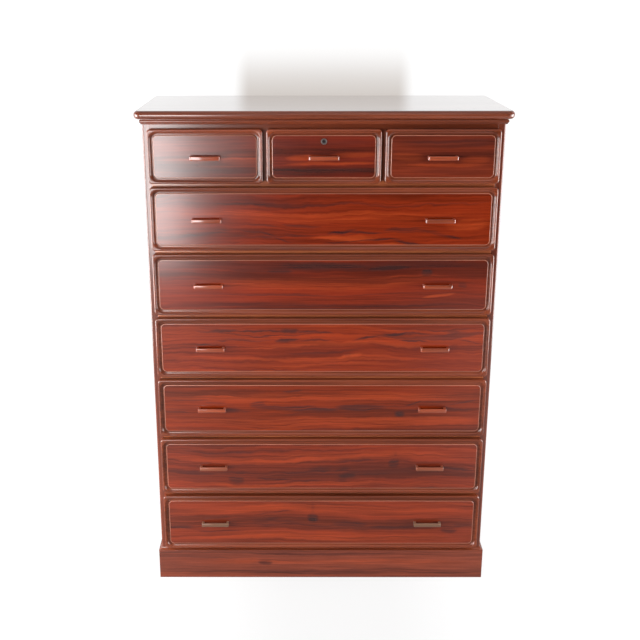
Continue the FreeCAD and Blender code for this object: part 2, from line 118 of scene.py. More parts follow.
class Graph:
    """Adds nodes to one node tree and joins them.

    Args:
        tree: The material's or the group's node tree.
    """

    def __init__(self, tree: Tree) -> None:
        """Keeps the tree."""
        self.tree = tree

    def put(self, socket: Socket, value: object) -> None:
        """Joins an input to another node's output, or sets its own value.

        Args:
            socket: The input.
            value: An output, a number, a colour or a vector. None leaves the input as it is.
        """
        if isinstance(value, Socket):
            self.tree.links.new(value, socket)
        elif value is not None:
            opaque = socket.type == "RGBA" and len(value) == 3
            socket.default_value = (*value, 1.0) if opaque else value

    def add(self, kind: str, inputs: dict[str | int, object] | None = None,
            **settings: object) -> Node:
        """Adds a node.

        Args:
            kind: The node's type, without the ShaderNode prefix.
            inputs: Values or sockets by input name or number.
            settings: Properties of the node.

        Returns:
            The node.
        """
        node = self.tree.nodes.new("ShaderNode" + kind)
        for name, value in settings.items():
            setattr(node, name, value)
        for name, value in (inputs or {}).items():
            self.put(node.inputs[name], value)
        return node

    def maths(self, operation: str, a: object, b: object = None) -> Socket:
        """One Math node's result."""
        return self.add("Math", {0: a, 1: b}, operation=operation).outputs[0]

    def blend(self, factor: object, a: object, b: object, mode: str = "MIX") -> Socket:
        """A mix of two colours."""
        node = self.add("Mix", {0: factor, 6: a, 7: b}, data_type="RGBA", blend_type=mode)
        return node.outputs[2]

    def dim(self, colour: object, factor: object) -> Socket:
        """A colour times a number."""
        grey = self.add("CombineColor", {0: factor, 1: factor, 2: factor}).outputs[0]
        return self.blend(1.0, colour, grey, "MULTIPLY")

    def spread(self, value: object, low: float, high: float, to_low: float = 0.0,
               to_high: float = 1.0) -> Socket:
        """A value mapped smoothly from one range to another, held at its ends."""
        ends = {"Value": value, "From Min": low, "From Max": high, "To Min": to_low, "To Max": to_high}
        return self.add("MapRange", ends, interpolation_type="SMOOTHSTEP").outputs[0]

    def moved(self, place: object, scale: object, shift: object) -> Socket:
        """A place times a scale plus a shift."""
        return self.add("VectorMath", {0: place, 1: scale, 2: shift},
                        operation="MULTIPLY_ADD").outputs[0]

    def noise(self, place: object, detail: float, rough: float, scale: float = 1.0) -> Socket:
        """Noise from about 0.2 to 0.8, with as many changes to the metre as place and scale say."""
        return self.add("TexNoise", {"Vector": place, "Scale": scale, "Detail": detail,
                                     "Roughness": rough}).outputs[0]

    def use(self, group: Tree, inputs: dict[str, object]) -> Node:
        """Places a node group.

        Args:
            group: The group.
            inputs: Values or sockets by input name.

        Returns:
            The node that holds it.
        """
        node = self.tree.nodes.new("ShaderNodeGroup")
        node.node_tree = group
        for name, value in inputs.items():
            self.put(node.inputs[name], value)
        return node


def new_group(name: str, vectors: Sequence[str], numbers: Sequence[str],
              outputs: Sequence[str]) -> tuple[Tree, Graph, Node, Node]:
    """An empty shader group with its sockets.

    Args:
        name: The group's name.
        vectors: Names of the vector inputs.
        numbers: Names of the number inputs.
        outputs: Names of the number outputs.

    Returns:
        The group, its graph, its input node and its output node.
    """
    tree = bpy.data.node_groups.new(name, "ShaderNodeTree")
    for labels, way, kind in ((vectors, "INPUT", "Vector"), (numbers, "INPUT", "Float"),
                              (outputs, "OUTPUT", "Float")):
        for label in labels:
            tree.interface.new_socket(label, in_out=way, socket_type="NodeSocket" + kind)
    return tree, Graph(tree), tree.nodes.new("NodeGroupInput"), tree.nodes.new("NodeGroupOutput")


def fibre_group() -> Tree:
    """Builds the group that gives any wood its fibres, pores and clouds.

    Returns:
        The group.
    """
    tree, graph, given, made = new_group("wood_fibre", ["Place"], ["Along", "Across", "Seed"],
                                         ["Fibre", "Pores", "Cloud"])
    seed = given.outputs["Seed"]

    def noise(along: float, across: float, detail: float, rough: float) -> Socket:
        """Noise stretched along the grain and moved by the seed.

        Args:
            along: Times the group's changes to the metre along the grain.
            across: Times its changes to the metre across the grain.
            detail: The noise's detail.
            rough: The noise's roughness.

        Returns:
            The noise.
        """
        a = graph.maths("MULTIPLY", given.outputs["Along"], along)
        c = graph.maths("MULTIPLY", given.outputs["Across"], across)
        place = graph.moved(given.outputs["Place"],
                            graph.add("CombineXYZ", {0: a, 1: c, 2: c}).outputs[0],
                            graph.add("CombineXYZ", {0: seed, 2: seed}).outputs[0])
        return graph.noise(place, detail, rough)

    graph.put(made.inputs["Fibre"], noise(1.0, 1.0, 4.0, 0.62))
    graph.put(made.inputs["Pores"], graph.spread(noise(14.0, 4.5, 2.0, 0.5), 0.60, 0.72))
    graph.put(made.inputs["Cloud"], noise(0.45, 0.09, 2.0, 0.5))
    return tree


def streak_group() -> Tree:
    """Builds the group for one mark of the figure, a long lens with soft edges.

    Returns:
        The group.
    """
    tree, graph, given, made = new_group(
        "figure_streak", ["Place"], ["Before", "X", "Z", "Half Length", "Half Height", "Slope",
                                     "Depth"], ["Mask"])
    split = graph.add("SeparateXYZ", {0: given.outputs["Place"]})
    across = graph.maths("SUBTRACT", split.outputs[X], given.outputs["X"])
    up = graph.maths("SUBTRACT", split.outputs[Z], given.outputs["Z"])
    up = graph.maths("SUBTRACT", up, graph.maths("MULTIPLY", across, given.outputs["Slope"]))
    reach = [graph.maths("POWER", graph.maths("ABSOLUTE", graph.maths(
        "DIVIDE", way, given.outputs[half])), power)
        for way, half, power in ((across, "Half Length", 3.0), (up, "Half Height", 2.0))]
    inside = graph.spread(graph.maths("ADD", *reach), 1.5, 0.0)
    own = graph.maths("MULTIPLY", inside, given.outputs["Depth"])
    graph.put(made.inputs["Mask"], graph.maths("MAXIMUM", own, given.outputs["Before"]))
    return tree


def finish_nodes(name: str, shader: dict[str, object]) -> tuple[Material, Graph, Node]:
    """A new material with one Principled shader.

    Args:
        name: The material's name.
        shader: Values for the shader's own sockets.

    Returns:
        The material, its graph and its shader.
    """
    material = bpy.data.materials.new(name)
    material.use_nodes = True
    graph = Graph(material.node_tree)
    principled = material.node_tree.nodes["Principled BSDF"]
    for label, value in shader.items():
        graph.put(principled.inputs[label], value)
    return material, graph, principled


FIBRE = fibre_group()
STREAK = streak_group()


@dataclass(frozen=True)
class Wood:
    """A plain wood: fibres between two colours, with pores and slow clouds.

    Args:
        name: The material's name.
        light: Colour of the pale fibres.
        dark: Colour of the dark fibres.
        grain: The way the grain runs.
        along: Changes of tone to the metre along the grain.
        across: Changes of tone to the metre across it.
        pore: How much the pores darken.
        cloud: How much the clouds darken.
        relief: Strength of the fibres' relief.
        roughness: Roughness of the wood itself.
        gloss: Specular level of the wood itself.
        coat: Weight of the lacquer.
        coat_roughness: Roughness of the lacquer.
        coat_ior: Index of refraction of the lacquer.
        seed: Moves the pattern.
    """

    name: str
    light: Colour
    dark: Colour
    grain: Grain = Grain.WIDE
    along: float = 3.0
    across: float = 130.0
    pore: float = 0.25
    cloud: float = 0.35
    relief: float = 0.04
    roughness: float = 0.42
    gloss: float = 0.0
    coat: float = 1.0
    coat_roughness: float = 0.17
    coat_ior: float = 1.7
    seed: float = 0.0

    def place(self, graph: Graph) -> Socket:
        """The object's own coordinates, turned so that X runs along the grain."""
        split = graph.add("SeparateXYZ", {0: graph.add("TexCoord").outputs["Object"]})
        return graph.add("CombineXYZ", {i: split.outputs["XYZ".index(axis)]
                                        for i, axis in enumerate(self.grain.value)}).outputs[0]

    def colour(self, graph: Graph, place: Socket, fibre: Node) -> Socket:
        """The colour before the pores.

        Args:
            graph: The material's graph.
            place: The coordinates along and across the grain.
            fibre: The placed group of fibres.

        Returns:
            The colour.
        """
        made = graph.blend(graph.spread(fibre.outputs["Fibre"], 0.30, 0.70), self.dark, self.light)
        return graph.dim(made, graph.spread(fibre.outputs["Cloud"], 0.35, 0.65,
                                            1.0 - self.cloud, 1.0))

    def made(self) -> Material:
        """Builds the material, once.

        Returns:
            The material, new or built before.
        """
        if self.name in bpy.data.materials:
            return bpy.data.materials[self.name]
        material, graph, shader = finish_nodes(self.name, {
            "Specular IOR Level": self.gloss, "Coat Weight": self.coat,
            "Coat Roughness": self.coat_roughness, "Coat IOR": self.coat_ior})
        place = self.place(graph)
        fibre = graph.use(FIBRE, {"Place": place, "Along": self.along, "Across": self.across,
                                  "Seed": self.seed})
        worn = graph.maths("MULTIPLY", fibre.outputs["Pores"], self.pore)
        graph.put(shader.inputs["Base Color"], graph.blend(
            worn, self.colour(graph, place, fibre), tuple(0.35 * c for c in self.dark)))
        graph.put(shader.inputs["Roughness"], graph.spread(
            fibre.outputs["Fibre"], 0.2, 0.8, self.roughness + 0.06, self.roughness - 0.06))
        height = graph.maths("SUBTRACT", fibre.outputs["Fibre"], fibre.outputs["Pores"])
        bump = graph.add("Bump", {"Strength": self.relief, "Distance": FIBRE_DEPTH, "Height": height})
        graph.put(shader.inputs["Normal"], bump.outputs[0])
        return material


@dataclass(frozen=True)
class Streak:
    """One mark of the figure, in millimetres from the middle of a drawer's field.

    Args:
        x: Its middle, from the middle of the chest.
        z: Its middle, above the middle of the field.
        half_length: Half its length.
        half_height: Half its height.
        depth: How strongly it shows.
        slope: Rise to the right.
    """

    x: float
    z: float
    half_length: float
    half_height: float
    depth: float
    slope: float = 0.0


@dataclass(frozen=True)
class FiguredVeneer(Wood):
    """Rosewood veneer: bands, fine lines, dark marks and glowing bands that follow its grain.

    Args:
        node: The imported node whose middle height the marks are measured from.
        glow: Colour of the brightest bands.
        ink: Colour of the darkest marks.
        marks: The dark marks, each a row of a Streak's values.
        glows: The bright bands, in such rows.
        lined: Areas where thin dark lines show, in such rows.
        wander: How far the grain wanders, in metres.
        broken: How much fine streaks break up the bands and the marks.
    """

    along: float = 6.0
    across: float = 240.0
    pore: float = 0.22
    node: str = "plinth_front"
    glow: Colour = (0.40, 0.056, 0.012)
    ink: Colour = (0.040, 0.013, 0.011)
    marks: tuple[Row, ...] = ()
    glows: tuple[Row, ...] = ()
    lined: tuple[Row, ...] = ()
    wander: float = 0.005
    broken: float = 1.0

    def noisy(self, graph: Graph, place: object, along: float, across: float,
              detail: float = 2.0, rough: float = 0.5) -> Socket:
        """Noise with its own number of changes to the metre along and across the grain."""
        return graph.noise(graph.moved(place, (along, across, across),
                                       (self.seed, 0.0, self.seed)), detail, rough)

    def bent(self, graph: Graph, place: Socket) -> Socket:
        """Moves the place up and down as the grain wanders, in three sizes of wave.

        Args:
            graph: The material's graph.
            place: The coordinates.

        Returns:
            The moved place, from the middle of the field.
        """
        start = (0.0, 0.0, -middle(self.node, Z) * MM)
        bent = graph.add("VectorMath", {0: place, 1: start}).outputs[0]
        for along, across, reach in ((3.0, 6.0, 1.0), (13.0, 22.0, 0.45), (45.0, 60.0, 0.14)):
            wave = graph.maths("SUBTRACT", self.noisy(graph, place, along, across, 1.0), 0.5)
            lift = graph.add("CombineXYZ", {Z: graph.maths("MULTIPLY", wave,
                                                           5.0 * reach * self.wander)})
            bent = graph.add("VectorMath", {0: bent, 1: lift.outputs[0]}).outputs[0]
        return bent

    def marked(self, graph: Graph, place: Socket, rows: Sequence[Row]) -> object:
        """The mask of a set of marks.

        Args:
            graph: The material's graph.
            place: The bent place.
            rows: The marks.

        Returns:
            The mask, or zero where there are no marks.
        """
        mask: object = 0.0
        for row in rows:
            mark = Streak(*row)
            mask = graph.use(STREAK, {
                "Place": place, "Before": mask, "X": mark.x * MM, "Z": mark.z * MM,
                "Half Length": mark.half_length * MM, "Half Height": mark.half_height * MM,
                "Slope": mark.slope, "Depth": mark.depth}).outputs[0]
        return mask

    def colour(self, graph: Graph, place: Socket, fibre: Node) -> Socket:
        """Bands and streaks that follow the bent grain, then the glows, lines and marks.

        Args:
            graph: The material's graph.
            place: The coordinates along and across the grain.
            fibre: The placed group of fibres.

        Returns:
            The colour before the pores.
        """
        bent = self.bent(graph, place)
        bands = self.noisy(graph, bent, 0.8, 22.0)
        streaks = self.noisy(graph, bent, 2.2, 120.0, 3.0, 0.6)
        fine = self.noisy(graph, bent, 5.0, 330.0)
        mixed = graph.blend(0.5 + 0.5 * self.broken, bands, graph.blend(0.40, streaks, fine))
        made = graph.blend(graph.spread(graph.blend(0.50, bands, mixed), 0.36, 0.63),
                           self.dark, self.light)
        bright = graph.maths("MULTIPLY", self.marked(graph, bent, self.glows),
                             graph.spread(mixed, 0.36, 0.62, 0.10, 0.75))
        made = graph.blend(bright, made, self.glow)
        ridge = graph.maths("ABSOLUTE", graph.maths(
            "SUBTRACT", self.noisy(graph, bent, 2.2, 42.0, 1.0), 0.5))
        thin = graph.maths("MULTIPLY", graph.spread(ridge, 0.030, 0.004),
                           self.marked(graph, bent, self.lined))
        solid = graph.maths("MULTIPLY", self.marked(graph, bent, self.marks),
                            graph.spread(mixed, 0.62, 0.42, 0.25, 1.0))
        made = graph.blend(graph.maths("MAXIMUM", solid, thin), made, self.ink)
        return graph.dim(made, graph.spread(fibre.outputs["Fibre"], 0.28, 0.72, 0.78, 1.20))


@dataclass(frozen=True)
class BarWood(Wood):
    """The pulls' wood, with a painted reflection of the floor: paler towards the foot of the chest, in
    clouds.

    Args:
        worn: Its colour at the foot, a painted reflection of the floor.
        reflection_high: Height where the painted reflection begins, in metres.
        reflection_low: Height where it is strongest, in metres.
    """

    worn: Colour = (0.165, 0.084, 0.048)
    reflection_high: float = 0.60
    reflection_low: float = 0.25

    def colour(self, graph: Graph, place: Socket, fibre: Node) -> Socket:
        """The plain wood, blended by height and in clouds to the worn colour, a painted reflection of the
        floor.

        Args:
            graph: The material's graph.
            place: The coordinates along and across the grain.
            fibre: The placed group of fibres.

        Returns:
            The colour before the pores.
        """
        # Painted reflection of the floor: paler towards the foot, broken into clouds
        height = graph.add("SeparateXYZ", {0: place}).outputs[Z]
        low = graph.spread(height, self.reflection_high, self.reflection_low)
        patch = graph.spread(graph.noise(place, 1.0, 0.5, 4.0), 0.40, 0.58, 0.45, 1.0)
        return graph.blend(graph.maths("MULTIPLY", low, patch),
                           super().colour(graph, place, fibre), self.worn)


@dataclass(frozen=True)
class Nickel:
    """Plated metal with fine turning marks.

    Args:
        name: The material's name.
        colour: Its colour.
        roughness: Its roughness.
    """

    name: str = "lock_nickel"
    colour: Colour = (0.24, 0.22, 0.21)
    roughness: float = 0.30

    def made(self) -> Material:
        """Builds the material, once.

        Returns:
            The material, new or built before.
        """
        if self.name in bpy.data.materials:
            return bpy.data.materials[self.name]
        material, graph, shader = finish_nodes(self.name, {"Metallic": 1.0})
        place = graph.add("TexCoord").outputs["Object"]
        turned = graph.noise(place, 3.0, 0.6, 900.0)
        smear = graph.noise(place, 2.0, 0.5, 120.0)
        graph.put(shader.inputs["Base Color"], graph.blend(
            graph.spread(smear, 0.35, 0.70), self.colour, tuple(0.72 * c for c in self.colour)))
        graph.put(shader.inputs["Roughness"], graph.spread(
            turned, 0.3, 0.7, self.roughness - 0.05, self.roughness + 0.10))
        bump = graph.add("Bump", {"Strength": 0.08, "Distance": TURNING_DEPTH, "Height": turned})
        graph.put(shader.inputs["Normal"], bump.outputs[0])
        return material


# Mesh work


class Shell:
    """Collects faces, welds them and turns them into one piece of the chest."""

    def __init__(self) -> None:
        """Starts an empty mesh."""
        self.mesh = bmesh.new()

    def face(self, points: Sequence[Vert], slot: int = 0) -> None:
        """Adds one face."""
        self.mesh.faces.new(points).material_index = slot

    def ring(self, points: Sequence[Vector]) -> list[Vert]:
        """Adds a ring of points."""
        return [self.mesh.verts.new(point) for point in points]

    def bridge(self, a: Sequence[Vert], b: Sequence[Vert], slot: int = 0) -> None:
        """Joins two closed rings of equal count by quads.

        Args:
            a: The first ring.
            b: The second ring.
            slot: The number of the faces' material.
        """
        for i in range(len(a)):
            j = (i + 1) % len(a)
            self.face((a[i], a[j], b[j], b[i]), slot)

    def loft(self, rings: Sequence[Ring]) -> None:
        """Joins closed rings in order and closes the first and last ones by flat faces.

        Args:
            rings: The rings, in metres.
        """
        made = [self.ring(points) for points in rings]
        for a, b in zip(made, made[1:]):
            self.bridge(a, b)
        self.face(made[0][::-1])
        self.face(made[-1])

    def carry(self, node: str, keep: Callable[[list[Vector]], bool]) -> None:
        """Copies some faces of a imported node.

        Args:
            node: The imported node.
            keep: Says of a face's points whether it is copied.
        """
        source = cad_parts[node].data
        for polygon in source.polygons:
            points = [source.vertices[i].co for i in polygon.vertices]
            if keep(points):
                self.face(self.ring(points))

    def piece(self, name: str, finishes: Sequence[Material], body: str, node: str,
              sharp: float = 32.0) -> None:
        """Makes the object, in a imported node's place.

        Args:
            name: The piece's name.
            finishes: Its materials by number.
            body: The body that it rides on.
            node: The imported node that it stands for.
            sharp: Edges that turn more than this, in degrees, stay sharp.
        """
        bmesh.ops.remove_doubles(self.mesh, verts=self.mesh.verts, dist=WELD)
        mesh = bpy.data.meshes.new(name)
        self.mesh.to_mesh(mesh)
        self.mesh.free()
        mesh.shade_smooth()
        mesh.set_sharp_from_angle(angle=math.radians(sharp))
        for material in finishes:
            mesh.materials.append(material)
        made = bpy.data.objects.new(name, mesh)
        bpy.context.scene.collection.objects.link(made)
        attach(made, body)
        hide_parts(node)
        LOG.info("%s: %d faces, rides on %s", name, len(mesh.polygons), body)


def rounded_ring(x0: float, x1: float, z0: float, z1: float, y: float, radius: float,
                 steps: int) -> Ring:
    """A rectangle with rounded corners in a plane of constant Y.

    Args:
        x0: Left edge.
        x1: Right edge.
        z0: Lower edge.
        z1: Upper edge.
        y: The plane.
        radius: The corners' radius.
        steps: Edges to a corner.

    Returns:
        The points, turning left seen from the front.
    """
    points = []
    corners = ((x1 - radius, z0 + radius), (x1 - radius, z1 - radius),
               (x0 + radius, z1 - radius), (x0 + radius, z0 + radius))
    for turn, (x, z) in enumerate(corners):
        for i in range(steps + 1):
            angle = math.radians(90 * (turn - 1 + i / steps))
            points.append(Vector((x + radius * math.cos(angle), y, z + radius * math.sin(angle))))
    return points


def arc(x: float, h: float, rx: float, rh: float, start: float, end: float,
        steps: int) -> list[Point]:
    """Points on an ellipse's arc between two angles in degrees, its first one left out."""
    angles = [math.radians(start + (end - start) * i / steps) for i in range(1, steps + 1)]
    return [(x + rx * math.cos(a), h + rh * math.sin(a)) for a in angles]


def dress(node: str, finish: Material, width: float) -> None:
    """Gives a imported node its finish, and rounds its edges a little with modifiers.

    Args:
        node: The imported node.
        finish: Its material.
        width: Width of the rounding, in millimetres.
    """
    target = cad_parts[node]
    for held in target.material_slots:
        held.material = finish
    weld = target.modifiers.new("weld", "WELD")
    weld.merge_threshold = WELD
    bevel = target.modifiers.new("edge", "BEVEL")
    bevel.width = width * MM
    bevel.segments = 2
    bevel.limit_method = "ANGLE"
    bevel.angle_limit = math.radians(40)
    bevel.harden_normals = True
    LOG.info("%s: dressed in %s", node, finish.name)


# Finishes of this chest

BORDER = Wood("border_wood", (0.235, 0.049, 0.018), (0.155, 0.029, 0.010), across=160.0,
              seed=3.0)
BORDER_UPRIGHT = replace(BORDER, name="border_wood_upright", light=(0.240, 0.050, 0.018),
                         grain=Grain.UPRIGHT, seed=5.0)
# Painted light: the border wood made much paler for the rails and divider, which lie in shaded channels
# between the drawers
RAIL_LIT = replace(BORDER, name="rail_wood", light=(0.520, 0.150, 0.055), dark=(0.370, 0.095, 0.036),
               seed=4.0)
# Painted highlight: a pale wood for the field's rounded edge, standing in for the highlight that runs
# round it
EDGE_HIGHLIGHT = Wood("field_edge", (0.480, 0.180, 0.110), (0.360, 0.125, 0.070), across=90.0, seed=8.0)
SIDE = Wood("side_veneer", (0.215, 0.045, 0.020), (0.085, 0.018, 0.009), grain=Grain.UPRIGHT,
            across=45.0, along=1.2, seed=9.0)
TOP = Wood("top_veneer", (0.165, 0.035, 0.015), (0.080, 0.017, 0.008), across=50.0, along=1.3,
           roughness=0.14, gloss=0.8, coat_roughness=0.08, coat_ior=1.5, seed=12.0)
NOSING = Wood("top_nosing", (0.220, 0.050, 0.021), (0.140, 0.030, 0.013), across=90.0, seed=14.0)
PULL = BarWood("bar_wood", (0.380, 0.072, 0.026), (0.230, 0.044, 0.016), across=260.0, along=9.0,
               roughness=0.35, gloss=0.2, coat_roughness=0.10, seed=2.0)
INSIDE = Wood("box_wood", (0.560, 0.400, 0.240), (0.420, 0.280, 0.155), across=110.0,
              relief=0.2, roughness=0.62, gloss=0.4, coat=0.0, pore=0.30, cloud=0.15, seed=4.0)
INSIDE_DEEP = replace(INSIDE, name="box_wood_deep", grain=Grain.DEEP, seed=6.0)
BACK = replace(INSIDE, name="back_ply", light=(0.470, 0.300, 0.165), dark=(0.350, 0.205, 0.105),
               grain=Grain.UPRIGHT, across=60.0, relief=0.15, roughness=0.66, pore=0.35, cloud=0.2,
               seed=7.0)
NICKEL = Nickel()
PLUG = Nickel("lock_plug", (0.055, 0.042, 0.042), 0.38)

# The veneers of the plinth and the drawers' fields, their marks laid out one by one

PLINTH = FiguredVeneer(
    "plinth_veneer", (0.260, 0.052, 0.024), (0.130, 0.030, 0.017), seed=51.0,
    node="plinth_front",
    marks=((-168, 6, 22, 9, 0.8), (0, -26, 480, 11, 0.55), (0, 34, 480, 6, 0.3)),
    glows=((0, 10, 470, 10, 0.5),))
FIELDS = {
    "top_left": FiguredVeneer(
        "field_top_left", (0.172, 0.024, 0.011), (0.072, 0.012, 0.006), seed=21.0,
        node="drawer_top_left_front", wander=0.004, broken=-0.2,
        marks=((-290, 36, 110, 12, 0.75), (-340, 44, 90, 6, 0.5), (-300, -38, 130, 8, 0.6),
               (-260, 10, 60, 4, 0.3)),
        glows=((-220, -8, 60, 14, 0.8), (-370, -8, 70, 10, 0.4), (-250, -24, 90, 5, 0.4))),
    "top_centre": FiguredVeneer(
        "field_top_centre", (0.136, 0.016, 0.007), (0.048, 0.008, 0.004), seed=24.0,
        node="drawer_top_centre_front", wander=0.004, broken=-0.2,
        marks=((-85, 38, 60, 10, 0.8), (40, 38, 110, 7, 0.7), (0, -38, 145, 9, 0.7),
               (-90, -46, 50, 6, 0.6)),
        glows=((-40, -4, 60, 9, 0.8), (80, 4, 60, 8, 0.6), (20, -20, 120, 5, 0.6))),
    "top_right": FiguredVeneer(
        "field_top_right", (0.150, 0.022, 0.009), (0.056, 0.010, 0.006), seed=27.0,
        node="drawer_top_right_front", wander=0.004, broken=-0.2,
        marks=((320, 38, 140, 9, 0.7), (370, 30, 70, 5, 0.5), (340, -37, 110, 8, 0.65),
               (230, -50, 60, 4, 0.4)),
        glows=((220, 2, 50, 12, 0.6), (400, -6, 40, 10, 0.45), (320, -20, 110, 5, 0.4))),
    "wide_1": FiguredVeneer(
        "field_wide_1", (0.209, 0.020, 0.004), (0.090, 0.009, 0.002), seed=31.0,
        node="drawer_wide_1_front", wander=0.008,
        marks=((-180, 46, 130, 8, 0.6), (60, 42, 260, 3.5, 0.55), (330, 40, 120, 3, 0.4),
               (-60, -10, 55, 4, 0.75), (-165, -20, 40, 3.5, 0.6), (-320, -44, 70, 6, 0.65, 0.10),
               (-175, -40, 50, 3, 0.7, -0.12), (-115, -56, 35, 2.6, 0.8, -0.28),
               (50, -27, 40, 5, 0.85, 0.12), (115, -31, 45, 3, 0.85, -0.06), (215, -25, 50, 7, 0.75),
               (330, -38, 45, 4, 0.8, -0.18), (60, -57, 65, 2.4, 0.9, 0.14), (155, -51, 55, 2.8, 0.85),
               (225, -58, 40, 4, 0.8, -0.1), (305, -64, 35, 4, 0.6)),
        glows=((0, 12, 400, 14, 0.55), (60, -47, 90, 9, 0.85), (300, -68, 170, 6, 0.95),
               (390, -10, 60, 16, 0.6)),
        lined=((-140, -40, 130, 26, 0.55), (160, -40, 200, 24, 0.6))),
    "wide_2": FiguredVeneer(
        "field_wide_2", (0.218, 0.021, 0.005), (0.081, 0.010, 0.004), seed=34.0,
        node="drawer_wide_2_front", broken=0.4,
        marks=((0, 56, 460, 14, 0.45), (0, 58, 140, 12, 0.85), (-120, 44, 40, 7, 0.9),
               (-200, 46, 60, 6, 0.6), (180, 50, 65, 8, 0.9), (285, 30, 16, 11, 0.9),
               (300, 50, 60, 5, 0.5), (384, -4, 13, 8, 0.75), (-110, -25, 130, 4, 0.75),
               (60, -24, 370, 2.6, 0.55), (-300, -26, 120, 3, 0.45), (0, -56, 430, 5, 0.4),
               (-30, -68, 400, 4, 0.5)),
        glows=((-30, 8, 300, 20, 0.55), (320, -31, 45, 4, 0.9, 0.1), (200, 20, 140, 6, 0.4))),
    "wide_3": FiguredVeneer(
        "field_wide_3", (0.265, 0.028, 0.005), (0.121, 0.013, 0.004), seed=37.0,
        node="drawer_wide_3_front", wander=0.009,
        marks=((-275, 50, 45, 5, 0.75, 0.05), (-170, 49, 75, 4, 0.75), (-95, 49, 30, 6, 0.8),
               (-20, 40, 55, 4, 0.8, -0.14), (-310, 15, 45, 3, 0.7, 0.2), (-205, 27, 75, 3.2, 0.75),
               (-100, 24, 35, 7, 0.9), (-25, 19, 50, 3, 0.6), (140, 27, 55, 4, 0.8, 0.16),
               (200, 40, 42, 5.5, 0.9, 0.22), (250, 46, 40, 3, 0.6), (255, 25, 40, 3.4, 0.85),
               (340, 29, 60, 2.4, 0.7), (415, 18, 40, 2.4, 0.6, -0.22), (290, 58, 130, 3, 0.5),
               (0, -12, 110, 3, 0.45), (72, -24, 10, 5, 0.7), (0, -60, 440, 3, 0.35)),
        glows=((50, 8, 260, 9, 0.5), (75, -28, 40, 7, 1.0), (-60, -38, 380, 16, 0.45),
               (100, 60, 150, 5, 0.6)),
        lined=((-180, 36, 190, 24, 0.6), (300, 40, 160, 24, 0.6))),
    "wide_4": FiguredVeneer(
        "field_wide_4", (0.242, 0.025, 0.004), (0.093, 0.012, 0.003), seed=41.0,
        node="drawer_wide_4_front", wander=0.006,
        marks=((-380, 27, 60, 3, 0.6), (-305, 20, 30, 5, 0.5), (-270, -4, 40, 9, 0.6),
               (-185, 16, 24, 10, 0.85), (-110, 6, 90, 7, 0.85), (-20, -3, 70, 7, 0.8),
               (110, 2, 75, 10, 0.95), (200, 6, 50, 4, 0.6), (222, -18, 15, 10, 0.9),
               (255, 16, 35, 3, 0.7, 0.4), (330, 27, 50, 3, 0.5), (400, 18, 45, 3, 0.5, 0.2),
               (-85, 54, 30, 3, 0.6), (60, -69, 380, 3.5, 0.65), (-420, -10, 40, 8, 0.4)),
        glows=((0, 36, 440, 14, 0.6), (30, -42, 420, 16, 0.7), (300, -40, 150, 14, 0.6)),
        lined=((-100, 0, 160, 18, 0.5), (330, 8, 120, 20, 0.5))),
    "wide_5": FiguredVeneer(
        "field_wide_5", (0.252, 0.030, 0.009), (0.104, 0.016, 0.007), seed=44.0,
        node="drawer_wide_5_front", wander=0.008,
        marks=((-290, 54, 110, 5, 0.65), (300, 57, 60, 4, 0.7), (50, 56, 300, 3, 0.4),
               (-380, -15, 90, 10, 0.7), (-260, -12, 60, 7, 0.6), (-250, -34, 24, 15, 0.8),
               (-65, -14, 70, 6, 0.75), (-5, -7, 35, 8, 0.7), (-130, -34, 60, 3, 0.85, -0.12),
               (-50, -43, 60, 3, 0.9), (75, -24, 28, 9, 0.8), (60, -42, 16, 6, 0.6),
               (150, -24, 60, 3, 0.55), (210, 3, 16, 11, 0.9), (215, 30, 5, 10, 0.3),
               (350, -12, 100, 8, 0.75), (100, 15, 60, 2.6, 0.6), (-280, -70, 70, 3, 0.6),
               (0, -16, 420, 10, 0.35)),
        glows=((-20, 30, 420, 14, 0.5), (0, -56, 430, 8, 0.6)),
        lined=((0, -20, 220, 26, 0.6),)),
    "wide_6": FiguredVeneer(
        "field_wide_6", (0.242, 0.030, 0.009), (0.102, 0.017, 0.007), seed=47.0,
        node="drawer_wide_6_front", wander=0.006,
        marks=((-425, -8, 50, 8, 0.7), (-385, -20, 50, 4, 0.75, -0.22), (-300, -32, 70, 3.5, 0.75),
               (-140, 25, 55, 2.8, 0.6, 0.06), (-180, -6, 26, 14, 0.5), (-40, -11, 90, 4, 0.6),
               (-25, 12, 17, 12, 0.9), (-25, 40, 5, 18, 0.25), (85, -5, 55, 9, 0.95),
               (215, -12, 85, 6, 0.8), (300, -6, 60, 5, 0.6), (380, -22, 26, 12, 0.85),
               (430, -6, 40, 8, 0.65), (280, -58, 60, 2.6, 0.5), (0, -12, 420, 8, 0.3)),
        glows=((0, 40, 430, 16, 0.5), (0, -48, 430, 14, 0.6)),
        lined=((-200, 0, 160, 30, 0.5), (330, -10, 120, 20, 0.4))),
}


# Sub-assemblies


@dataclass
class Moulding:
    """A profile that runs along the front and both ends, mitred at the front corners.

    Args:
        name: The piece's name.
        node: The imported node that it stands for.
    """

    name: str
    node: str

    def section(self) -> list[Point]:
        """The profile's points as reach and height, against the clock."""
        raise NotImplementedError

    def build(self) -> None:
        """Sweeps the section from the back of one end to the back of the other."""
        shell = Shell()
        rings = []
        for side, y, turned in ((-1, BACK_Y, 0), (-1, FRAME_Y, 1), (1, FRAME_Y, 1), (1, BACK_Y, 0)):
            rings.append([Vector((side * (SIDE_OUTER + reach), y - reach * turned, z)) * MM
                          for reach, z in self.section()])
        shell.loft(rings)
        shell.piece(self.name, [BORDER.made()], "carcass", self.node)


